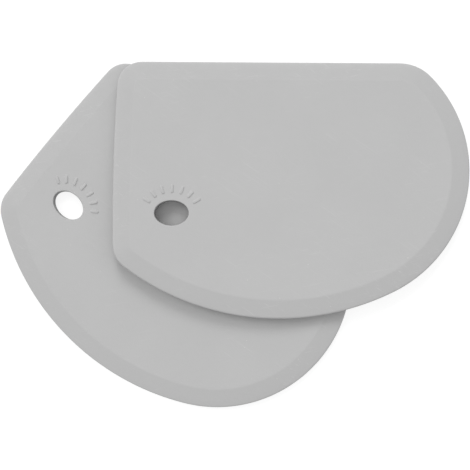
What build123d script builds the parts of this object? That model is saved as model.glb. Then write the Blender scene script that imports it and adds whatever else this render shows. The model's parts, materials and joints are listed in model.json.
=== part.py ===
from build123d import *
import math
import os

# A pair of flexible bowl scrapers, one lying across the other like an open fan.
# Each scraper is a silicone blade moulded round a stiff nylon core. The lower one lies flat.
# The upper one leans: its underside lies on the lower blade's rounded crease and the far
# end of its own crease touches the table.
# Lengths are in millimetres and angles in degrees. +Z is up, +X runs along the upper
# scraper's long edge, the table is at Z = 0 and the origin is under the middle of the pair.

# Blade outline, seen from above with the long edge at the top and the short edge on the left.
# The belly's arc is centred on the long edge, so its radius is the blade's width. The short
# edge bows out a little, and the blade's length is measured from where it stands out most.
blade_length = 150.0
blade_width = 108.6
crown_radius = 10.4  # corner between the long edge and the short edge
toe_radius = 18.0  # corner between the long edge and the round end
heel_radius = 11.7  # corner between the short edge and the belly
short_edge_radius = 900.0
short_edge_bulge = 45.0  # from the long edge to where the short edge stands out most
belly_low_share = 0.462  # where the belly hangs lowest, as a share of the length
end_overshoot = 11.8  # how far past the long edge the round end's circle would reach

# Blade section, alike above and below the parting line
blade_thickness = 4.0
rim_thickness = 1.6
rim_round = 0.7
bevel_width = 7.7  # from the rim to the crease, where the flat panel starts
crease_round = 4.0  # radius that softens the crease
round_limit_share = 0.45  # the most of its wall that a round takes up

# Oval hanging hole
hole_length = 14.5
hole_height = 10.5
hole_from_short_edge = 25.4
hole_from_belly = 30.1  # both to the middle of the hole
hole_round = 0.6

# Raised ribs that fan out over the hanging hole
rib_count = 7
rib_length = 3.4
rib_width = 1.1
rib_height = 0.35
rib_round = 0.15
rib_gap = 3.4  # from the hole's wall to the ribs
rib_fan_angle = 118.0  # from the first rib to the last
rib_root = 0.5  # how deep a rib starts inside the panel

# Nylon core inside the blade
core_thickness = 1.2
core_margin = 0.8  # silicone between the crease and the core's edge
core_corner_radius = 3.0
core_hole_wall = 2.6  # silicone that lines the hanging hole
bond_hole_diameter = 5.0  # the silicone above and below the core joins through these
bond_edge_distance = 7.0  # from the core's edge to the middle of a bond hole
bond_spacing = 20.0
bond_land = 3.0  # nylon kept between a bond hole and the hanging hole's opening

# How the pair lies
fan_angle = 39.4  # between the two long edges
crown_shift = 7.5  # the lower crown's middle lies this far to the left of the upper one's
crown_rise = 0.2  # and this far above it
seat_clearance = 0.05  # between the upper underside and the crease that carries it
table_clearance = 0.02  # between the upper scraper's lowest point and the table
overrun = 5.0  # how far a cutting solid passes the face that it cuts

bevel_drop = (blade_thickness - rim_thickness) / 2
bevel_half_angle = math.atan2(bevel_drop, bevel_width) / 2
crease_reach = min(
    crease_round * math.tan(bevel_half_angle),
    round_limit_share * (min(crown_radius, heel_radius) - bevel_width),
)
crease_radius = crease_reach / math.tan(bevel_half_angle)
panel_inset = bevel_width + crease_reach  # from the rim to where the panel is truly flat
core_inset = bevel_width + core_margin

belly_middle = Vector(belly_low_share * blade_length, 0)
short_edge_middle = Vector(short_edge_radius, -short_edge_bulge)
hole_run = belly_middle.X - hole_from_short_edge
hole_drop = math.sqrt((blade_width - hole_from_belly) ** 2 - hole_run**2)
hole_middle = Vector(hole_from_short_edge, -hole_drop)


def end_circle():
    """Middle and radius of the round end's circle. It touches the blade's far end, reaches
    end_overshoot past the long edge and meets the belly's arc without a corner."""
    run = blade_length - belly_middle.X
    half_sum = blade_width - run - end_overshoot
    product = run**2 + end_overshoot**2 - blade_width**2
    radius = math.sqrt(half_sum**2 - product) - half_sum
    return Vector(blade_length - radius, end_overshoot - radius), radius


def crown_middle(crown, inset=0.0):
    """Middle of a crown arc that meets the long edge and the short edge, both drawn in."""
    drop = inset + crown
    reach = short_edge_radius - drop
    return Vector(short_edge_radius - math.sqrt(reach**2 - (short_edge_bulge - drop) ** 2), -drop)


def heel_middle(heel, inset):
    """Middle of a heel arc that meets the belly and the short edge, both drawn in."""
    from_belly = blade_width - inset - heel
    from_short_edge = short_edge_radius - inset - heel
    between = short_edge_middle - belly_middle
    along = (from_belly**2 - from_short_edge**2 + between.length**2) / (2 * between.length)
    across = math.sqrt(from_belly**2 - along**2)
    towards = between.normalized()
    return belly_middle + towards * along + Vector(towards.Y, -towards.X) * across


def clockwise_arc(middle, radius, first, last):
    """Arc round middle, clockwise from the direction first to the direction last."""
    start = math.degrees(math.atan2(first.Y, first.X))
    end = math.degrees(math.atan2(last.Y, last.X))
    return CenterArc(middle, radius, start, -((start - end) % 360))


def blade_outline(inset=0.0):
    """The blade's outline on Z = 0, drawn in by inset. A corner whose radius would fall
    under core_corner_radius keeps that radius."""
    end_at, end_radius = end_circle()
    end = end_radius - inset
    belly = blade_width - inset
    short_edge = short_edge_radius - inset
    crown = max(crown_radius - inset, core_corner_radius)
    toe = max(toe_radius - inset, core_corner_radius)
    heel = max(heel_radius - inset, core_corner_radius)
    crown_at = crown_middle(crown, inset)
    heel_at = heel_middle(heel, inset)
    toe_drop = inset + toe + end_at.Y
    toe_run = math.sqrt((end - toe) ** 2 - toe_drop**2)
    toe_at = Vector(end_at.X + toe_run, -inset - toe)
    up = Axis.Y.direction
    toe_to_end = toe_at - end_at
    end_to_belly = end_at - belly_middle
    belly_to_heel = heel_at - belly_middle
    short_edge_to_heel = heel_at - short_edge_middle
    short_edge_to_crown = crown_at - short_edge_middle
    return Wire(
        [
            Line(crown_at + Vector(0, crown), toe_at + Vector(0, toe)),
            clockwise_arc(toe_at, toe, up, toe_to_end),
            clockwise_arc(end_at, end, toe_to_end, end_to_belly),
            clockwise_arc(belly_middle, belly, end_to_belly, belly_to_heel),
            clockwise_arc(heel_at, heel, belly_to_heel, short_edge_to_heel),
            clockwise_arc(short_edge_middle, short_edge, short_edge_to_heel, short_edge_to_crown),
            clockwise_arc(crown_at, crown, short_edge_to_crown, up),
        ]
    )


def plate(inset, thickness):
    """A flat plate inside the outline, centred on the blade's parting line."""
    lift = Pos(0, 0, (blade_thickness - thickness) / 2)
    return lift * extrude(make_face(blade_outline(inset)), thickness)


def hole_cutter(growth=0.0):
    """The hanging hole as a solid, with its wall moved out by growth."""
    oval = Ellipse(hole_length / 2 + growth, hole_height / 2 + growth)
    start = Pos(hole_middle.X, hole_middle.Y, -overrun)
    return start * extrude(oval, blade_thickness + 2 * overrun)


def bevelled_body():
    """The blade without its hole: a flat panel, a bevel all round it and a rounded rim."""
    body = plate(0.0, blade_thickness)
    for side in (0, -1):
        face = body.faces().sort_by(Axis.Z)[side]
        body = chamfer(face.edges(), bevel_width, bevel_drop, reference=face)
    levels = body.edges().group_by(Axis.Z)
    rims = levels[2] + levels[-3]
    body = fillet(rims, min(rim_round, round_limit_share * rim_thickness))
    levels = body.edges().group_by(Axis.Z)
    return fillet(levels[0] + levels[-1], crease_radius)


def rib_places():
    """Where the ribs stand: along an oval round the upper side of the hanging hole."""
    beyond_wall = rib_gap + rib_length / 2
    across = hole_length / 2 + beyond_wall
    along = hole_height / 2 + beyond_wall
    first = (180 - rib_fan_angle) / 2
    step = rib_fan_angle / max(rib_count - 1, 1)
    angles = [first + step * index for index in range(rib_count)]
    foot = Pos(hole_middle.X, hole_middle.Y, blade_thickness - rib_root)
    return [
        foot
        * Pos(across * math.cos(math.radians(angle)), along * math.sin(math.radians(angle)))
        * Rot(Z=angle)
        for angle in angles
    ]


def marker_ribs():
    """Short round-ended ribs that stand on the panel in a fan over the hanging hole."""
    rib = extrude(SlotOverall(rib_length, rib_width), rib_root + rib_height)
    soft = min(rib_round, round_limit_share * rib_height, round_limit_share * rib_width)
    rib = fillet(rib.faces().sort_by(Axis.Z)[-1].edges(), soft)
    return [place * rib for place in rib_places()]


def bond_points():
    """Where the bond holes lie: evenly along the core's edge, but not by the hanging hole."""
    track = blade_outline(core_inset + bond_edge_distance)
    count = max(round(track.length / bond_spacing), 1)
    points = [track.position_at(index / count) for index in range(count)]
    reach = hole_length / 2 + core_hole_wall + bond_land + bond_hole_diameter / 2
    return [point for point in points if (point - hole_middle).length > reach]


def stiffener_core():
    """The flat nylon sheet, open round the hanging hole and pierced by the bond holes."""
    core = plate(core_inset, core_thickness) - hole_cutter(core_hole_wall)
    drill = Pos(0, 0, -overrun) * extrude(
        Circle(bond_hole_diameter / 2), blade_thickness + 2 * overrun
    )
    return core - [Pos(point) * drill for point in bond_points()]


def silicone_blade(core):
    """The silicone, which fills everything round the core and through its holes."""
    body = bevelled_body() - hole_cutter()
    lips = [
        edge
        for side in (0, -1)
        for wire in body.faces().sort_by(Axis.Z)[side].inner_wires()
        for edge in wire.edges()
    ]
    body = fillet(lips, min(hole_round, round_limit_share * blade_thickness))
    return body + marker_ribs() - core


def lower_place():
    """The lower scraper is turned about its crown's middle and lies flat on the table."""
    crown_at = crown_middle(crown_radius)
    aside = Vector(-crown_shift, crown_rise)
    return Pos(crown_at + aside) * Rot(Z=-fan_angle) * Pos(-crown_at)


def upper_place(lower):
    """The upper scraper rolls over the lower one's rounded crease until it meets the table."""
    hinge = lower * Pos(0, -panel_inset, blade_thickness - crease_radius)
    above = 2 * crease_radius + seat_clearance
    far_crease = hinge.inverse() * blade_outline(panel_inset)
    beyond = far_crease.bounding_box().max.Y
    drop_left = table_clearance + 2 * crease_radius - blade_thickness
    tilt = math.acos(drop_left / math.hypot(above, beyond)) - math.atan2(beyond, above)
    roll = hinge * Rot(X=-math.degrees(tilt)) * hinge.inverse()
    return roll * Pos(0, 0, blade_thickness + seat_clearance)


core = stiffener_core()
blade = silicone_blade(core)
lower = lower_place()
upper = upper_place(lower)

pair_box = Compound([lower * blade, upper * blade]).bounding_box()
middle = pair_box.center()
to_origin = Pos(-middle.X, -middle.Y, -pair_box.min.Z)

nodes = {
    "lower_silicone_blade": lower * blade,
    "lower_stiffener_core": lower * core,
    "upper_silicone_blade": upper * blade,
    "upper_stiffener_core": upper * core,
}

os.makedirs("parts", exist_ok=True)
for name, shape in nodes.items():
    export_step(to_origin * shape, f"parts/{name}.step")
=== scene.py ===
import json
import math

import bmesh
import bpy
from bpy.props import FloatProperty, FloatVectorProperty, IntProperty, PointerProperty
from bpy.types import Operator, Panel, PropertyGroup
from mathutils import Euler, Matrix, Vector
from mathutils.geometry import intersect_sphere_sphere_2d


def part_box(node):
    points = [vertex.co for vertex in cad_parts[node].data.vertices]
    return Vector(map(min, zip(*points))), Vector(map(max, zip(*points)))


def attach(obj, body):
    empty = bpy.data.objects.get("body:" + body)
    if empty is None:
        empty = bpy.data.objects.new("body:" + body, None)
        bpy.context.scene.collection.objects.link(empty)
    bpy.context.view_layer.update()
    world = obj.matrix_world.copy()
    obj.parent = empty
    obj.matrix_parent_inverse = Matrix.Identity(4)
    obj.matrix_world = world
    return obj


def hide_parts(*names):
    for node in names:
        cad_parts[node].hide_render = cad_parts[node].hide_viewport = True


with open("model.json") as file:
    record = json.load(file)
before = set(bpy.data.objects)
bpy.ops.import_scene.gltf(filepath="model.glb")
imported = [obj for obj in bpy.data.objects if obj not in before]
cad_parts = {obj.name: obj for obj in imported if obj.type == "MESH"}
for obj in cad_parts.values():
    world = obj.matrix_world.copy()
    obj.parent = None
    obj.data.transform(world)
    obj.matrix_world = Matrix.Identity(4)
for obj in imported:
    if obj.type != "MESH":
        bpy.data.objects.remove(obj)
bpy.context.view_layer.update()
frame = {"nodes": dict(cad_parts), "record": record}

# A pair of silicone bowl scrapers, one lying across the other like an open fan.
# Each blade is modelled flat: its long edge lies along the X axis, its short edge bulges out to
# X = 0, its belly is towards -Y, and its mould's parting plane is at Z = 0. It is then set down
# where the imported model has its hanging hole. Lengths are in metres.

bl_info = {
    "name": "Bowl scrapers",
    "version": (1, 0, 0),
    "blender": (4, 5, 0),
    "location": "3D View > Sidebar > Scrapers",
    "description": "A fanned pair of silicone bowl scrapers with nylon cores, on a studio stage",
    "category": "Add Mesh",
}

MERGE_DISTANCE = 5e-6  # points nearer to each other than this become one
FIT_TOLERANCE = 0.0005  # between a blade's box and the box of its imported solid
CLIP_SHARE = 0.1  # of the camera's distance, nearer than which it shows nothing

# Values that a blade's mesh stores at its points, for the silicone to read
NEARNESS = "rim_nearness"
# the hole_recess value places the painted shade in the hole, and rim_nearness places the painted
# shade on the bevel as well as the rub
RECESS = "hole_recess"

UP = math.radians(90)
HALF_TURN = math.radians(180)
FULL_TURN = math.radians(360)


# Kinds of property


def length(name, default, description):
    """A property that holds a length in metres."""
    return FloatProperty(
        name=name, default=default, description=description, min=0.0, precision=5, unit="LENGTH"
    )


def turn(name, default, description):
    """A property that holds an angle, with its default in degrees."""
    return FloatProperty(
        name=name, default=math.radians(default), description=description, unit="ROTATION"
    )


def share(name, default, description):
    """A property that holds a share, from 0 to 1."""
    return FloatProperty(
        name=name,
        default=default,
        description=description,
        min=0.0,
        max=1.0,
        precision=3,
        subtype="FACTOR",
    )


def colour(name, default, description):
    """A property that holds a colour."""
    return FloatVectorProperty(
        name=name,
        default=default,
        description=description,
        min=0.0,
        max=1.0,
        size=3,
        subtype="COLOR",
    )


def refractive_index(default, description):
    """A property that holds an index of refraction."""
    return FloatProperty(
        name="Refraction", default=default, description=description, min=1.0, max=3.0, precision=3
    )


def whole_number(name, default, description, least):
    """A property that holds how many there are of something."""
    return IntProperty(name=name, default=default, description=description, min=least)


# Sizes, finishes and settings


class BladeSizes(PropertyGroup):
    """The blade's outline, section and hanging hole"""

    blade_length: length("Length", 0.150, "From the short edge's bulge to the far end")
    blade_width: length("Width", 0.1086, "From the long edge to the belly, and the belly's radius")
    crown_radius: length("Crown radius", 0.0104, "Corner between the long edge and the short edge")
    toe_radius: length("Toe radius", 0.018, "Corner between the long edge and the round end")
    heel_radius: length("Heel radius", 0.0117, "Corner between the short edge and the belly")
    short_edge_radius: length("Short edge radius", 0.9, "Radius of the slightly bowed short edge")
    short_edge_bulge: length("Short edge bulge", 0.045, "From the long edge to the bulge's peak")
    belly_low_share: share("Belly low share", 0.462, "Where along the length the belly is lowest")
    end_overshoot: length("End overshoot", 0.0118, "How far the end's circle passes the long edge")
    thickness: length("Thickness", 0.004, "Thickness of the flat panel")
    rim_thickness: length("Rim thickness", 0.0016, "Thickness at the outer edge")
    rim_reach: length("Rim reach", 0.0006, "How far the rim's rounding reaches to each side")
    bevel_width: length("Bevel width", 0.0077, "From the rim to the crease")
    shoulder_reach: length("Shoulder reach", 0.0034, "From the rim to where the bevel's bow starts")
    shoulder_fall: length("Shoulder fall", 0.00015, "How far the bevel has bowed down at the rim")
    crease_reach: length("Crease reach", 0.00031, "How far the crease's rounding goes to each side")
    seam_reach: length("Seam reach", 0.00004, "How far the mould's seam stands out of the rim")
    seam_rise: length("Seam rise", 0.00006, "Half the width of the mould's seam")
    hole_length: length("Hole length", 0.0145, "The hanging hole along the long edge")
    hole_height: length("Hole height", 0.0105, "The hanging hole across the long edge")
    hole_from_short_edge: length("Hole from short edge", 0.0254, "To the middle of the hole")
    hole_from_belly: length("Hole from belly", 0.0301, "To the middle of the hole")
    hole_round: length("Hole round", 0.0004, "Rounding of the hanging hole's lips")


class RibSizes(PropertyGroup):
    """The raised ribs that fan out over the hanging hole"""

    count: whole_number("Count", 7, "How many ribs there are", least=2)
    rib_length: length("Length", 0.0034, "Length of a rib")
    rib_width: length("Width", 0.0011, "Width of a rib")
    rib_height: length("Height", 0.00035, "How far a rib stands out of the panel")
    rib_round: length("Round", 0.00015, "Rounding of a rib's top and foot")
    gap: length("Gap", 0.0034, "From the hole's wall to the ribs")
    fan_angle: turn("Fan angle", 118.0, "From the first rib to the last")


class MeshFineness(PropertyGroup):
    """How finely the blades are meshed"""

    spacing: length("Spacing", 0.0009, "Usual edge along the outline's arcs")
    straight_spacing: length("Straight spacing", 0.003, "Longest edge along the straight runs")
    arc_step: turn("Arc step", 5.0, "Largest turn from one edge of a tight arc to the next")
    least_step: turn("Least step", 0.2, "Turn from one edge of a nearly straight arc to the next")
    rim_segments: whole_number("Rim segments", 8, "Rings of the rim's rounding", least=2)
    bevel_segments: whole_number("Bevel segments", 8, "Rings of the bevel's bow", least=1)
    crease_segments: whole_number("Crease segments", 6, "Rings of the crease", least=2)
    lip_segments: whole_number("Lip segments", 6, "Rings of the hole's lips", least=2)
    hole_segments: whole_number("Hole segments", 96, "Edges round the hanging hole", least=12)
    rib_segments: whole_number("Rib segments", 3, "Rings of a rib's rounding", least=1)
    guard: length("Guard", 0.0004, "Ring beside a rounding that keeps its shading off the flat")


class SiliconeFinish(PropertyGroup):
    """The blades' matte grey silicone"""

    tone: colour("Tone", (0.502, 0.502, 0.502), "Colour of the silicone")
    deep_tone: colour("Deep tone", (0.493, 0.493, 0.493), "Colour of its faint darker clouds")
    rubbed_tone: colour("Rubbed tone", (0.492, 0.492, 0.492), "Colour where the rim is rubbed")
    # painted shade: the bevel's colour is set darker than the panel's to deepen the shading of its
    # slope
    bevel_shade_tone: colour("Bevel shade", (0.480, 0.480, 0.480), "Painted shade that darkens the bevel")
    # painted shade: the hole's wall is coloured far darker to stand in for the shade inside the
    # hole
    hole_shade_tone: colour("Hole shade", (0.24, 0.24, 0.24), "Painted shade that darkens the hole's wall")
    scuff_tone: colour("Scuff tone", (0.53, 0.53, 0.53), "Colour of its hairline scuffs")
    dust_tone: colour("Dust tone", (0.66, 0.655, 0.645), "Colour of the flour dust on it")
    smooth: share("Smooth roughness", 0.50, "Roughness where it is smoothest")
    rough: share("Rough roughness", 0.62, "Roughness where it is roughest")
    rub_polish: share("Rub polish", 0.08, "How much less rough the rubbed rim is")
    scuff_roughness: share("Scuff roughness", 0.2, "How much rougher a scuff is")
    dust_roughness: share("Dust roughness", 0.3, "How much rougher a speck of dust is")
    bevel_fade: share("Bevel fade", 0.06, "Nearness to the rim at which the bevel's painted shade is full")
    refraction: refractive_index(1.41, "Index of refraction of silicone")
    sheen: share("Sheen", 0.04, "Strength of the soft sheen at a low angle")
    grain_size: length("Grain size", 0.00035, "Size of the grain that the mould leaves")
    grain_depth: length("Grain depth", 0.00004, "Depth of that grain")
    cloud_size: length("Cloud size", 0.028, "Size of the faint clouds")
    rub_patches: whole_number("Rub patches", 3, "Patches of rub in the width of a cloud", least=1)
    speck_gap: length("Speck gap", 0.0045, "Usual distance between specks of dust")
    scuff_gap: length("Scuff gap", 0.0005, "Usual distance between hairline scuffs")


class NylonFinish(PropertyGroup):
    """The cores' plain moulded nylon"""

    tone: colour("Tone", (0.78, 0.76, 0.70), "Colour of the nylon")
    deep_tone: colour("Deep tone", (0.72, 0.695, 0.62), "Colour of its darker flow clouds")
    smooth: share("Smooth roughness", 0.34, "Roughness where it is smoothest")
    rough: share("Rough roughness", 0.48, "Roughness where it is roughest")
    refraction: refractive_index(1.53, "Index of refraction of nylon")
    grain_size: length("Grain size", 0.0006, "Size of the grain that the mould leaves")
    grain_depth: length("Grain depth", 0.000012, "Depth of that grain")
    cloud_size: length("Cloud size", 0.012, "Size of the flow clouds")


class StageSettings(PropertyGroup):
    """The camera, the lamps and the white floor"""

    target: FloatVectorProperty(
        name="Target",
        default=(0.00219, -0.00024, 0.002),
        description="Point that the camera looks at",
        subtype="XYZ",
        unit="LENGTH",
    )
    tilt: FloatVectorProperty(
        name="Tilt",
        default=(math.radians(2.159), math.radians(4.892), math.radians(0.734)),
        description="Turn of the camera from looking straight down, about X, Y and Z",
        subtype="EULER",
        unit="ROTATION",
    )
    distance: length("Distance", 0.440, "From the camera to its target")
    lens: FloatProperty(
        name="Lens",
        default=79.08,
        description="Focal length of the camera, in millimetres",
        min=1.0,
        unit="CAMERA",
    )
    key_share: share("Key share", 0.18, "Share of the table's light that the key lamp gives")
    key_direction: turn("Key direction", 92.0, "Direction that the key lamp stands in, from +X")
    side_share: share("Side share", 0.13, "Share of the table's light that the side lamp gives")
    side_direction: turn("Side direction", 152.0, "Direction that the side lamp stands in, from +X")
    lamp_elevation: turn("Lamp elevation", 38.0, "Height of both lamps above the horizon")
    lamp_softness: turn("Lamp softness", 22.0, "How wide each lamp looks from the pair")
    floor_size: length("Floor size", 3.0, "Side of the floor")
    floor_bounce: share("Floor bounce", 0.80, "How much light the floor throws back on the pair")
    floor_shadow: share("Floor shadow", 0.30, "How strongly the pair's shadow shows on the floor")
    floor_white: share("Floor white", 0.80, "How white the floor is in the deepest shadow")


# The blades' meshes


def closed_run(bm, arcs, fineness):
    """Starts an empty bmesh with one face inside a run of arcs that follow each other, with
    straight edges between those that lie apart. An arc is its middle, its radius, its first
    direction and its turn."""
    ends = []
    for middle, radius, first, swept in arcs:
        start = bm.verts.new(middle + radius * Vector((math.cos(first), math.sin(first), 0)))
        step = min(max(fineness.spacing / radius, fineness.least_step), fineness.arc_step)
        steps = math.ceil(abs(swept) / step)
        spun = bmesh.ops.spin(
            bm, geom=[start], cent=middle, axis=(0, 0, 1), angle=swept, steps=steps
        )
        ends.append((start, spun["geom_last"][0]))
    runs = []
    for (_, last), (following, _) in zip(ends, ends[1:] + ends[:1]):
        runs.append(bm.edges.new((last, following)))
    for run in runs:
        cuts = math.floor(run.calc_length() / fineness.straight_spacing)
        if cuts:
            bmesh.ops.subdivide_edges(bm, edges=[run], cuts=cuts)
    bmesh.ops.remove_doubles(bm, verts=bm.verts[:], dist=MERGE_DISTANCE)
    face = bmesh.ops.contextual_create(bm, geom=bm.edges[:])["faces"][0]
    face.normal_update()
    if face.normal.z < 0:
        face.normal_flip()
    return face


def draw_in(bm, face, step, rise):
    """Draws the face's outline in evenly by step while the face rises."""
    bmesh.ops.inset_region(
        bm, faces=[face], thickness=step, depth=rise, use_boundary=True, use_even_offset=True
    )


def soften(bm, edges, reach, segments):
    """Rounds the edges off, with the rounding reaching that far to each side."""
    bmesh.ops.bevel(
        bm,
        geom=list(edges),
        offset=reach,
        offset_type="OFFSET",
        segments=segments,
        profile=0.5,
        affect="EDGES",
        clamp_overlap=False,
        material=-1,
    )


def round_end(sizes):
    """Middle and radius of the round end's circle, which touches the far end, reaches
    end_overshoot past the long edge and meets the belly without a corner."""
    run = sizes.blade_length * (1 - sizes.belly_low_share)
    half_sum = sizes.blade_width - run - sizes.end_overshoot
    product = run**2 + sizes.end_overshoot**2 - sizes.blade_width**2
    radius = math.sqrt(half_sum**2 - product) - half_sum
    return Vector((sizes.blade_length - radius, sizes.end_overshoot - radius, 0)), radius


def blade_arcs(sizes, growth):
    """The arcs of the blade's outline, clockwise from the toe and drawn out by growth. Two of
    them meet in the direction from the larger one's middle to the smaller one's."""
    end_at, end = round_end(sizes)
    belly, short_edge = sizes.blade_width, sizes.short_edge_radius
    toe, heel, crown = sizes.toe_radius, sizes.heel_radius, sizes.crown_radius
    belly_at = Vector((sizes.belly_low_share * sizes.blade_length, 0, 0))
    short_edge_at = Vector((short_edge, -sizes.short_edge_bulge, 0))
    toe_run = math.sqrt((end - toe) ** 2 - (toe + end_at.y) ** 2)
    toe_at = Vector((end_at.x + toe_run, -toe, 0))
    crown_run = math.sqrt((short_edge - crown) ** 2 - (sizes.short_edge_bulge - crown) ** 2)
    crown_at = Vector((short_edge - crown_run, -crown, 0))
    heels = intersect_sphere_sphere_2d(
        belly_at.xy, belly - heel, short_edge_at.xy, short_edge - heel
    )
    heel_at = min(heels, key=lambda point: point.y).to_3d()
    circles = [
        (toe_at, toe),
        (end_at, end),
        (belly_at, belly),
        (heel_at, heel),
        (short_edge_at, short_edge),
        (crown_at, crown),
    ]
    meetings = [UP]
    for (first_at, first), (second_at, second) in zip(circles, circles[1:]):
        towards = first_at - second_at if first < second else second_at - first_at
        meetings.append(math.atan2(towards.y, towards.x))
    meetings.append(UP)
    return [
        (middle, radius + growth, first, -((first - last) % FULL_TURN))
        for (middle, radius), first, last in zip(circles, meetings, meetings[1:])
    ]


def hole_middle(sizes):
    """Middle of the hanging hole, at the height of the parting plane."""
    run = sizes.belly_low_share * sizes.blade_length - sizes.hole_from_short_edge
    drop = math.sqrt((sizes.blade_width - sizes.hole_from_belly) ** 2 - run**2)
    return Vector((sizes.hole_from_short_edge, -drop, 0))


def bevel_rise(sizes, inward):
    """How far above the rim's edge the bevel stands at that distance in from it."""
    drop = (sizes.thickness - sizes.rim_thickness) / 2
    straight = (drop - sizes.shoulder_fall) * inward / sizes.bevel_width
    short = max(1 - inward / sizes.shoulder_reach, 0)
    return straight + sizes.shoulder_fall * (1 - short**2)


def add_upper_skin(bm, sizes, fineness):
    """The rim, bevel and crease above the parting plane, open where the flat panel comes."""
    panel = closed_run(bm, blade_arcs(sizes, sizes.seam_reach), fineness)
    seam = list(panel.edges)
    draw_in(bm, panel, sizes.seam_reach, sizes.seam_rise)
    draw_in(bm, panel, 0, sizes.rim_thickness / 2 - sizes.seam_rise)
    rim = list(panel.edges)
    near_rim = sizes.rim_reach + fineness.guard
    near_crease = sizes.crease_reach + fineness.guard
    bow_step = (sizes.bevel_width - near_rim - near_crease) / fineness.bevel_segments
    inward = 0
    for step in (near_rim, *[bow_step] * fineness.bevel_segments, near_crease):
        rise = bevel_rise(sizes, inward + step) - bevel_rise(sizes, inward)
        draw_in(bm, panel, step, rise)
        inward += step
    soften(bm, rim, sizes.rim_reach, fineness.rim_segments)
    soften(bm, panel.edges, sizes.crease_reach, fineness.crease_segments)
    panel = max(bm.faces, key=lambda face: face.calc_area())
    draw_in(bm, panel, fineness.guard, 0)
    bmesh.ops.delete(bm, geom=[panel], context="FACES_ONLY")
    for edge in seam:
        edge.smooth = False


def grow_ring(bm, edges, middle, rise, scale=(1, 1, 1)):
    """Grows a wall from a ring of edges and gives the wall's other ring, which is that much
    higher and scaled about middle."""
    grown = bmesh.ops.extrude_edge_only(bm, edges=edges)["geom"]
    verts = [part for part in grown if isinstance(part, bmesh.types.BMVert)]
    bmesh.ops.translate(bm, verts=verts, vec=(0, 0, rise))
    bmesh.ops.scale(bm, verts=verts, vec=scale, space=Matrix.Translation(-middle))
    return [part for part in grown if isinstance(part, bmesh.types.BMEdge)]


def add_hole_wall(bm, sizes, fineness):
    """The hanging hole's wall and rounded lip above the parting plane."""
    middle = hole_middle(sizes)
    long_half, high_half = sizes.hole_length / 2, sizes.hole_height / 2
    oval = Matrix.Translation(middle) @ Matrix.Diagonal((long_half, high_half, 1, 1))
    bmesh.ops.create_circle(bm, segments=fineness.hole_segments, radius=1, matrix=oval)
    parting = [edge for edge in bm.edges if edge.is_wire]
    flange = sizes.hole_round + fineness.guard
    widened = ((long_half + flange) / long_half, (high_half + flange) / high_half, 1)
    below_lip = grow_ring(bm, parting, middle, sizes.thickness / 2 - flange)
    lip = grow_ring(bm, below_lip, middle, flange)
    grow_ring(bm, lip, middle, 0, widened)
    soften(bm, lip, sizes.hole_round, fineness.lip_segments)


def rib_places(sizes, ribs):
    """Where the ribs stand: along an oval round the upper side of the hanging hole."""
    beyond_wall = ribs.gap + ribs.rib_length / 2
    across = sizes.hole_length / 2 + beyond_wall
    along = sizes.hole_height / 2 + beyond_wall
    first = (HALF_TURN - ribs.fan_angle) / 2
    step = ribs.fan_angle / (ribs.count - 1)
    angles = [first + step * index for index in range(ribs.count)]
    foot = hole_middle(sizes) + Vector((0, 0, sizes.thickness / 2))
    return [
        Matrix.Translation(foot + Vector((across * math.cos(angle), along * math.sin(angle), 0)))
        @ Matrix.Rotation(angle, 4, "Z")
        for angle in angles
    ]


def rib_mesh(ribs, fineness):
    """One rib along X with a narrow ring of panel round its foot."""
    bm = bmesh.new()
    end = Vector(((ribs.rib_length - ribs.rib_width) / 2, 0, 0))
    margin = ribs.rib_round + fineness.guard
    radius = ribs.rib_width / 2 + margin
    arcs = [(end, radius, UP, -HALF_TURN), (-end, radius, -UP, -HALF_TURN)]
    top = closed_run(bm, arcs, fineness)
    draw_in(bm, top, margin, 0)
    foot = list(top.edges)
    draw_in(bm, top, 0, ribs.rib_height)
    soften(bm, foot + list(top.edges), ribs.rib_round, fineness.rib_segments)
    mesh = bpy.data.meshes.new("rib")
    bm.to_mesh(mesh)
    bm.free()
    return mesh


def add_ribs(bm, sizes, ribs, fineness):
    """The ribs, standing on the level of the upper panel."""
    rib = rib_mesh(ribs, fineness)
    for place in rib_places(sizes, ribs):
        placed = rib.copy()
        placed.transform(place)
        bm.from_mesh(placed)
        bpy.data.meshes.remove(placed)
    bpy.data.meshes.remove(rib)


def fill_panel(bm, side):
    """The flat panel, between the crease, the hole's lip and any ribs on that side."""
    open_edges = [
        edge for edge in bm.edges if edge.is_boundary and edge.verts[0].co.z * side > 0
    ]
    bmesh.ops.triangle_fill(bm, edges=open_edges, normal=(0, 0, side), use_beauty=True)


def mark_surface(bm, sizes):
    """Stores how near each point is to the rim or the hole, from 0 on the panel to 1, and how
    far down the hole's rounded lip it lies, from 0 on the panel to 1 on the hole's wall."""
    nearness = bm.verts.layers.float.new(NEARNESS)
    recess = bm.verts.layers.float.new(RECESS)
    drop = (sizes.thickness - sizes.rim_thickness) / 2
    middle = hole_middle(sizes)
    reach = sizes.hole_length / 2 + sizes.hole_round
    for vert in bm.verts:
        below_panel = max(sizes.thickness / 2 - abs(vert.co.z), 0)
        vert[nearness] = min(below_panel / drop, 1)
        if (vert.co.xy - middle.xy).length < reach:
            # this value places the painted shade on the hole's lip and wall
            vert[recess] = min(below_panel / sizes.hole_round, 1)


def blade_mesh(name, sizes, ribs, fineness):
    """The whole blade as one closed shell, lying flat as it is modelled."""
    bm = bmesh.new()
    add_upper_skin(bm, sizes, fineness)
    add_hole_wall(bm, sizes, fineness)
    whole = bm.verts[:] + bm.edges[:] + bm.faces[:]
    bmesh.ops.mirror(bm, geom=whole, axis="Z", merge_dist=MERGE_DISTANCE)
    fill_panel(bm, -1)
    add_ribs(bm, sizes, ribs, fineness)
    fill_panel(bm, 1)
    bmesh.ops.recalc_face_normals(bm, faces=bm.faces[:])
    mark_surface(bm, sizes)
    for face in bm.faces:
        face.smooth = True
    if any(not edge.is_manifold for edge in bm.edges):
        raise RuntimeError("The blade's shell is not closed")
    mesh = bpy.data.meshes.new(name)
    bm.to_mesh(mesh)
    bm.free()
    return mesh


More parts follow.
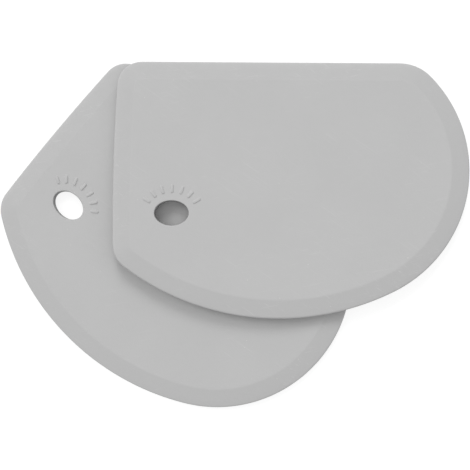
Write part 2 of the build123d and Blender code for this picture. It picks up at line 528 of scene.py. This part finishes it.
def blade_places(sizes):
    """Where the two blades lie. The upper one leans about a line along the lower one's long
    edge, so its hanging hole's axis tells both the lean and how far the pair is fanned."""
    mounts = {mount["name"]: mount for mount in frame["record"]["mounts"]}
    normal = Vector(mounts["upper_hang_hole"]["axis"]).normalized()
    fan = Matrix.Rotation(math.atan2(-normal.x, normal.y), 4, "Z")
    lean = Vector((0, 0, 1)).rotation_difference(normal).to_matrix().to_4x4()
    back = Matrix.Translation(-hole_middle(sizes))
    turns = {"lower": fan, "upper": lean}
    return {
        side: Matrix.Translation(mounts[f"{side}_hang_hole"]["pos_m"]) @ turned @ back
        for side, turned in turns.items()
    }


def check_fit(mesh, node):
    """Stops if the mesh doesn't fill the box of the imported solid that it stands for."""
    for corner, pick in zip(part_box(node), (min, max)):
        for axis in range(3):
            reach = pick(vert.co[axis] for vert in mesh.vertices)
            if abs(reach - corner[axis]) > FIT_TOLERANCE:
                raise RuntimeError(f"{mesh.name} doesn't fill the box of {node}")


def add_object(name, data):
    """A new object in the scene."""
    added = bpy.data.objects.new(name, data)
    bpy.context.scene.collection.objects.link(added)
    return added


# Shader nodes


def empty_tree(owner):
    """The node tree of a material or a world, with nothing in it yet."""
    owner.use_nodes = True
    owner.node_tree.nodes.clear()
    return owner.node_tree


def put(tree, kind, inputs=None, **settings):
    """Adds a node, sets its properties and then links or sets its inputs by name or number."""
    node = tree.nodes.new(kind)
    for name, value in settings.items():
        setattr(node, name, value)
    shown = [socket for socket in node.inputs if socket.enabled]
    for key, value in (inputs or {}).items():
        named = [socket for socket in shown if socket.name == key]
        socket = named[0] if named else shown[key]
        if isinstance(value, bpy.types.NodeSocket):
            tree.links.new(value, socket)
        else:
            socket.default_value = value
    return node


def out(node, name=None):
    """The node's output of that name, or its first one that shows."""
    shown = [socket for socket in node.outputs if socket.enabled]
    return next((socket for socket in shown if socket.name == name), shown[0])


def calculate(tree, operation, *values):
    """The result of a Math node."""
    return out(put(tree, "ShaderNodeMath", dict(enumerate(values)), operation=operation))


def noise(tree, vector, scale, detail, roughness=0.5):
    """The value of a Noise Texture, from about 0 to 1."""
    inputs = {"Vector": vector, "Scale": scale, "Detail": detail, "Roughness": roughness}
    return out(put(tree, "ShaderNodeTexNoise", inputs))


def ramp(tree, value, low, high, to_low=0.0, to_high=1.0):
    """Gives to_low where the value is low or less and to_high where it is high or more, with a
    smooth change between them."""
    inputs = {
        "Value": value,
        "From Min": low,
        "From Max": high,
        "To Min": to_low,
        "To Max": to_high,
    }
    return out(put(tree, "ShaderNodeMapRange", inputs, interpolation_type="SMOOTHSTEP"))


def blend_colours(tree, factor, first, second):
    """Two colours mixed by a factor."""
    inputs = {"Factor": factor, "A": first, "B": second}
    return out(put(tree, "ShaderNodeMix", inputs, data_type="RGBA"))


def opaque(tone):
    """A colour property as a socket's colour."""
    return (*tone, 1.0)


def read_mark(tree, name):
    """The value that the mesh stores at its points under that name."""
    mark = put(tree, "ShaderNodeAttribute", attribute_type="GEOMETRY", attribute_name=name)
    return out(mark, "Fac")


# Shared effects


def start_group(name, inputs, outputs):
    """A node group that is still empty, and the sockets inside it for its named inputs and
    outputs."""
    tree = bpy.data.node_groups.new(name, "ShaderNodeTree")
    kinds = {"Vector": "NodeSocketVector"}
    for socket in inputs:
        kind = kinds.get(socket, "NodeSocketFloat")
        tree.interface.new_socket(socket, in_out="INPUT", socket_type=kind)
    for socket in outputs:
        tree.interface.new_socket(socket, in_out="OUTPUT", socket_type="NodeSocketFloat")
    given = tree.nodes.new("NodeGroupInput").outputs
    return tree, given, tree.nodes.new("NodeGroupOutput").inputs


def grain_group(name):
    """The fine grain that an eroded steel mould leaves, with a slow unevenness under it."""
    broad_share = 0.09  # the unevenness's frequency against the grain's
    broad_height = 1.6  # and its height against the grain's
    tree, given, made = start_group(name, ["Vector", "Grains per metre"], ["Height", "Dullness"])
    grains = given["Grains per metre"]
    fine = noise(tree, given["Vector"], grains, detail=3.0, roughness=0.6)
    broad_scale = calculate(tree, "MULTIPLY", grains, broad_share)
    broad = noise(tree, given["Vector"], broad_scale, detail=2.0)
    lifted = calculate(tree, "MULTIPLY_ADD", broad, broad_height, fine)
    tree.links.new(lifted, made["Height"])
    tree.links.new(ramp(tree, broad, low=0.3, high=0.7), made["Dullness"])
    return tree


def cloud_group(name):
    """Faint clouds where the pigment lies a little thicker."""
    tree, given, made = start_group(name, ["Vector", "Clouds per metre"], ["Mask"])
    clouds = noise(tree, given["Vector"], given["Clouds per metre"], detail=4.0, roughness=0.55)
    tree.links.new(ramp(tree, clouds, low=0.34, high=0.68), made["Mask"])
    return tree


def rub_group(name):
    """Rubbing along the rim and the hole, which comes and goes along the edge."""
    closeness = 6.0  # the higher this power, the closer the rub keeps to the edge
    least_rub = 0.35  # between the patches, against 1 in them
    inputs = ["Vector", "Nearness", "Patches per metre"]
    tree, given, made = start_group(name, inputs, ["Mask"])
    patches = noise(tree, given["Vector"], given["Patches per metre"], detail=5.0, roughness=0.6)
    close = calculate(tree, "POWER", given["Nearness"], closeness)
    strength = ramp(tree, patches, low=0.35, high=0.65, to_low=least_rub)
    tree.links.new(calculate(tree, "MULTIPLY", close, strength), made["Mask"])
    return tree


def dust_group(name):
    """Loose specks of flour dust, thinly and unevenly strewn."""
    full_radius, faded_radius = 0.022, 0.055  # of a speck, against the gap between specks
    drift_share = 0.18  # the drifts' frequency against the specks'
    tree, given, made = start_group(name, ["Vector", "Specks per metre"], ["Mask"])
    specks = given["Specks per metre"]
    inputs = {"Vector": given["Vector"], "Scale": specks, "Randomness": 1.0}
    cells = put(tree, "ShaderNodeTexVoronoi", inputs)
    distance = out(cells, "Distance")
    speck = ramp(tree, distance, full_radius, faded_radius, to_low=1.0, to_high=0.0)
    drift_scale = calculate(tree, "MULTIPLY", specks, drift_share)
    drift = noise(tree, given["Vector"], drift_scale, detail=2.0)
    strewn = calculate(tree, "MULTIPLY", speck, ramp(tree, drift, low=0.42, high=0.66))
    tree.links.new(strewn, made["Mask"])
    return tree


def scuff_streaks(tree, vector, scale, direction):
    """Long hairlines that run in that direction."""
    stretch = 40.0  # how much longer than wide a hairline is
    inputs = {"Vector": vector, "Rotation": (0, 0, direction), "Scale": (stretch, 1, 1)}
    turned = put(tree, "ShaderNodeMapping", inputs, vector_type="TEXTURE")
    return ramp(tree, noise(tree, out(turned), scale, detail=1.0), low=0.66, high=0.74)


def scuff_group(name):
    """Hairline scuffs that cross each other, gathered in patches."""
    directions = (math.radians(12.0), math.radians(-34.0))  # from +X
    patch_share = 0.02  # the patches' frequency against the scuffs'
    tree, given, made = start_group(name, ["Vector", "Scuffs per metre"], ["Mask"])
    scuffs = given["Scuffs per metre"]
    streaks = [scuff_streaks(tree, given["Vector"], scuffs, angle) for angle in directions]
    crossed = calculate(tree, "MAXIMUM", *streaks)
    patch_scale = calculate(tree, "MULTIPLY", scuffs, patch_share)
    patches = noise(tree, given["Vector"], patch_scale, detail=2.0)
    gathered = calculate(tree, "MULTIPLY", crossed, ramp(tree, patches, low=0.42, high=0.62))
    tree.links.new(gathered, made["Mask"])
    return tree


EFFECTS = {
    "Mould grain": grain_group,
    "Pigment clouds": cloud_group,
    "Edge rub": rub_group,
    "Dust specks": dust_group,
    "Hairline scuffs": scuff_group,
}


def place_effect(tree, name, place, inputs):
    """Places a shared effect in a material, with its own values. Its first use builds it."""
    group = bpy.data.node_groups.get(name) or EFFECTS[name](name)
    return put(tree, "ShaderNodeGroup", {"Vector": place, **inputs}, node_tree=group)


# Materials


def start_material(name):
    """A node material, with its node tree, its shader and the object's coordinates."""
    material = bpy.data.materials.new(name)
    tree = empty_tree(material)
    shader = put(tree, "ShaderNodeBsdfPrincipled")
    put(tree, "ShaderNodeOutputMaterial", {"Surface": out(shader)})
    place = out(put(tree, "ShaderNodeTexCoord"), "Object")
    return material, tree, shader, place


def moulded_base(tree, place, finish):
    """What both mouldings have: a clouded tone, an uneven roughness and the grain's height."""
    grain = place_effect(tree, "Mould grain", place, {"Grains per metre": 1 / finish.grain_size})
    clouds = place_effect(
        tree, "Pigment clouds", place, {"Clouds per metre": 1 / finish.cloud_size}
    )
    tone = blend_colours(tree, out(clouds), opaque(finish.deep_tone), opaque(finish.tone))
    roughness = ramp(tree, out(grain, "Dullness"), 0.0, 1.0, finish.smooth, finish.rough)
    return tone, roughness, out(grain, "Height")


def fill_shader(tree, shader, finish, tone, roughness, height):
    """Leads the tone, the roughness and the grain's bump into the shader."""
    inputs = {"Strength": 1.0, "Distance": finish.grain_depth, "Height": height}
    bump = put(tree, "ShaderNodeBump", inputs)
    tree.links.new(tone, shader.inputs["Base Color"])
    tree.links.new(roughness, shader.inputs["Roughness"])
    tree.links.new(out(bump), shader.inputs["Normal"])
    shader.inputs["IOR"].default_value = finish.refraction


def silicone_material(finish):
    """Matte grey silicone with mould grain, rubbed edges, painted shade on the bevel and in the
    hole, and a little dust.
    """
    material, tree, shader, place = start_material("matte_silicone")
    tone, roughness, height = moulded_base(tree, place, finish)
    nearness = read_mark(tree, NEARNESS)
    recess = read_mark(tree, RECESS)
    # mask for the painted shade on the bevel, 0 on the panel and full just past the crease
    bevel = ramp(tree, nearness, 0.0, finish.bevel_fade)
    patches = finish.rub_patches / finish.cloud_size
    rub = place_effect(
        tree, "Edge rub", place, {"Nearness": nearness, "Patches per metre": patches}
    )
    dust = place_effect(tree, "Dust specks", place, {"Specks per metre": 1 / finish.speck_gap})
    scuffs = place_effect(
        tree, "Hairline scuffs", place, {"Scuffs per metre": 1 / finish.scuff_gap}
    )
    coats = (
        # painted shade: the bevel is darkened to add to the shading of its slope
        (bevel, finish.bevel_shade_tone),
        (out(rub), finish.rubbed_tone),
        # painted shade: the hole's lip and wall are darkened to stand in for the shade in the hole
        (recess, finish.hole_shade_tone),
        (out(scuffs), finish.scuff_tone),
        (out(dust), finish.dust_tone),
    )
    for mask, coat in coats:
        tone = blend_colours(tree, mask, tone, opaque(coat))
    changes = (
        (out(scuffs), finish.scuff_roughness),
        (out(rub), -finish.rub_polish),
        (out(dust), finish.dust_roughness),
    )
    for mask, change in changes:
        roughness = calculate(tree, "MULTIPLY_ADD", mask, change, roughness)
    fill_shader(tree, shader, finish, tone, roughness, height)
    shader.inputs["Sheen Weight"].default_value = finish.sheen
    return material


def nylon_material(finish):
    """Plain moulded nylon with flow clouds and a satin mould grain."""
    material, tree, shader, place = start_material("moulded_nylon")
    tone, roughness, height = moulded_base(tree, place, finish)
    fill_shader(tree, shader, finish, tone, roughness, height)
    return material


def seen_directly(tree):
    """A mask that is 1 for the camera and for what glossy and clear surfaces show."""
    path = put(tree, "ShaderNodeLightPath")
    glossy, clear = out(path, "Is Glossy Ray"), out(path, "Is Transmission Ray")
    mirrored = calculate(tree, "MAXIMUM", glossy, clear)
    return calculate(tree, "MAXIMUM", out(path, "Is Camera Ray"), mirrored)


def floor_material(settings):
    """A floor that bounces light as a pale surface does, and that shows white except where
    the pair's shadow falls."""
    material = bpy.data.materials.new("white_floor")
    tree = empty_tree(material)
    bounce = put(tree, "ShaderNodeBsdfDiffuse", {"Color": opaque([settings.floor_bounce] * 3)})
    shaded = put(tree, "ShaderNodeBsdfDiffuse", {"Color": opaque([settings.floor_shadow] * 3)})
    white = put(tree, "ShaderNodeEmission", {"Strength": settings.floor_white})
    shown = put(tree, "ShaderNodeAddShader", {0: out(shaded), 1: out(white)})
    inputs = {0: seen_directly(tree), 1: out(bounce), 2: out(shown)}
    floor = put(tree, "ShaderNodeMixShader", inputs)
    put(tree, "ShaderNodeOutputMaterial", {"Surface": out(floor)})
    return material


# The stage


def add_floor(settings):
    """A plain square floor at the table's height."""
    bm = bmesh.new()
    bmesh.ops.create_grid(bm, x_segments=1, y_segments=1, size=settings.floor_size / 2)
    mesh = bpy.data.meshes.new("floor")
    bm.to_mesh(mesh)
    bm.free()
    mesh.materials.append(floor_material(settings))
    add_object("floor", mesh)


def light_world(settings):
    """An even sky that gives the light that the lamps don't, and that looks plain white."""
    world = bpy.data.worlds.new("studio")
    tree = empty_tree(world)
    rest = 1 - settings.key_share - settings.side_share
    strength = ramp(tree, seen_directly(tree), 0.0, 1.0, rest, 1.0)
    sky = put(tree, "ShaderNodeBackground", {"Color": opaque([1.0] * 3), "Strength": strength})
    put(tree, "ShaderNodeOutputWorld", {"Surface": out(sky)})
    bpy.context.scene.world = world


def add_lamp(name, light_share, direction, elevation, softness):
    """A far, wide lamp, which gives a level surface that share of a plain level of light."""
    rise, level = math.sin(elevation), math.cos(elevation)
    towards = Vector((level * math.cos(direction), level * math.sin(direction), rise))
    lamp = bpy.data.lights.new(name, "SUN")
    lamp.angle = softness
    lamp.energy = light_share * math.pi / rise
    holder = add_object(name, lamp)
    holder.rotation_euler = towards.to_track_quat("Z", "Y").to_euler()


def add_lamps(settings):
    """The key lamp beyond the long edges, and the side lamp further round to the left."""
    rise, softness = settings.lamp_elevation, settings.lamp_softness
    add_lamp("key", settings.key_share, settings.key_direction, rise, softness)
    add_lamp("side", settings.side_share, settings.side_direction, rise, softness)


def add_camera(settings):
    """The camera, almost straight above the pair."""
    lens = bpy.data.cameras.new("camera")
    lens.lens = settings.lens
    lens.clip_start = settings.distance * CLIP_SHARE
    tilted = Euler(settings.tilt, "YXZ").to_matrix().to_4x4()
    back = Matrix.Translation((0, 0, settings.distance))
    camera = add_object("camera", lens)
    camera.matrix_world = Matrix.Translation(settings.target) @ tilted @ back
    bpy.context.scene.camera = camera


# The add-on


class SCRAPER_OT_blades(Operator):
    """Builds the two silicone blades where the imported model's hanging holes lie"""

    bl_idname = "scraper.blades"
    bl_label = "Silicone blades"
    bl_options = {"REGISTER", "UNDO"}

    def execute(self, context):
        scene = context.scene
        sizes = scene.scraper_blade
        material = silicone_material(scene.scraper_silicone)
        for side, place in blade_places(sizes).items():
            node = f"{side}_silicone_blade"
            mesh = blade_mesh(f"{side}_blade", sizes, scene.scraper_ribs, scene.scraper_mesh)
            mesh.transform(place)
            check_fit(mesh, node)
            mesh.materials.append(material)
            blade = add_object(f"{side}_blade", mesh)
            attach(blade, f"{side}_scraper")
            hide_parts(node)
        return {"FINISHED"}


class SCRAPER_OT_cores(Operator):
    """Gives the two stiffener cores their nylon finish"""

    bl_idname = "scraper.cores"
    bl_label = "Nylon cores"
    bl_options = {"REGISTER", "UNDO"}

    def execute(self, context):
        material = nylon_material(context.scene.scraper_nylon)
        for side in ("lower", "upper"):
            core = frame["nodes"][f"{side}_stiffener_core"]
            core.data.materials.clear()
            core.data.materials.append(material)
        return {"FINISHED"}


class SCRAPER_OT_stage(Operator):
    """Sets up the white floor, the soft light and the camera"""

    bl_idname = "scraper.stage"
    bl_label = "Studio stage"
    bl_options = {"REGISTER", "UNDO"}

    def execute(self, context):
        settings = context.scene.scraper_stage
        context.scene.view_settings.view_transform = "Standard"
        add_floor(settings)
        light_world(settings)
        add_lamps(settings)
        add_camera(settings)
        return {"FINISHED"}


class SCRAPER_PT_sidebar(Panel):
    """Lists the sizes, the finishes and the operators"""

    bl_idname = "SCRAPER_PT_sidebar"
    bl_label = "Bowl scrapers"
    bl_space_type = "VIEW_3D"
    bl_region_type = "UI"
    bl_category = "Scrapers"

    def draw(self, context):
        for label, names, operator in SECTIONS:
            box = self.layout.box()
            box.label(text=label)
            for name in names:
                group = getattr(context.scene, name)
                for value in group.__annotations__:
                    box.prop(group, value)
            box.operator(operator)


BLADE_GROUPS = ("scraper_blade", "scraper_ribs", "scraper_mesh", "scraper_silicone")

SECTIONS = (
    ("Blades", BLADE_GROUPS, "scraper.blades"),
    ("Cores", ("scraper_nylon",), "scraper.cores"),
    ("Stage", ("scraper_stage",), "scraper.stage"),
)

GROUPS = {
    "scraper_blade": BladeSizes,
    "scraper_ribs": RibSizes,
    "scraper_mesh": MeshFineness,
    "scraper_silicone": SiliconeFinish,
    "scraper_nylon": NylonFinish,
    "scraper_stage": StageSettings,
}

CLASSES = (
    *GROUPS.values(),
    SCRAPER_OT_blades,
    SCRAPER_OT_cores,
    SCRAPER_OT_stage,
    SCRAPER_PT_sidebar,
)


def register():
    """Adds the classes, and gives the scene its groups of sizes, finishes and settings."""
    for item in CLASSES:
        bpy.utils.register_class(item)
    for name, group in GROUPS.items():
        setattr(bpy.types.Scene, name, PointerProperty(type=group))


def unregister():
    """Takes away what register adds."""
    for name in GROUPS:
        delattr(bpy.types.Scene, name)
    for item in reversed(CLASSES):
        bpy.utils.unregister_class(item)


def main():
    """Builds the pair and its stage, piece by piece."""
    register()
    bpy.ops.scraper.blades()
    bpy.ops.scraper.cores()
    bpy.ops.scraper.stage()


if __name__ == "__main__":
    main()
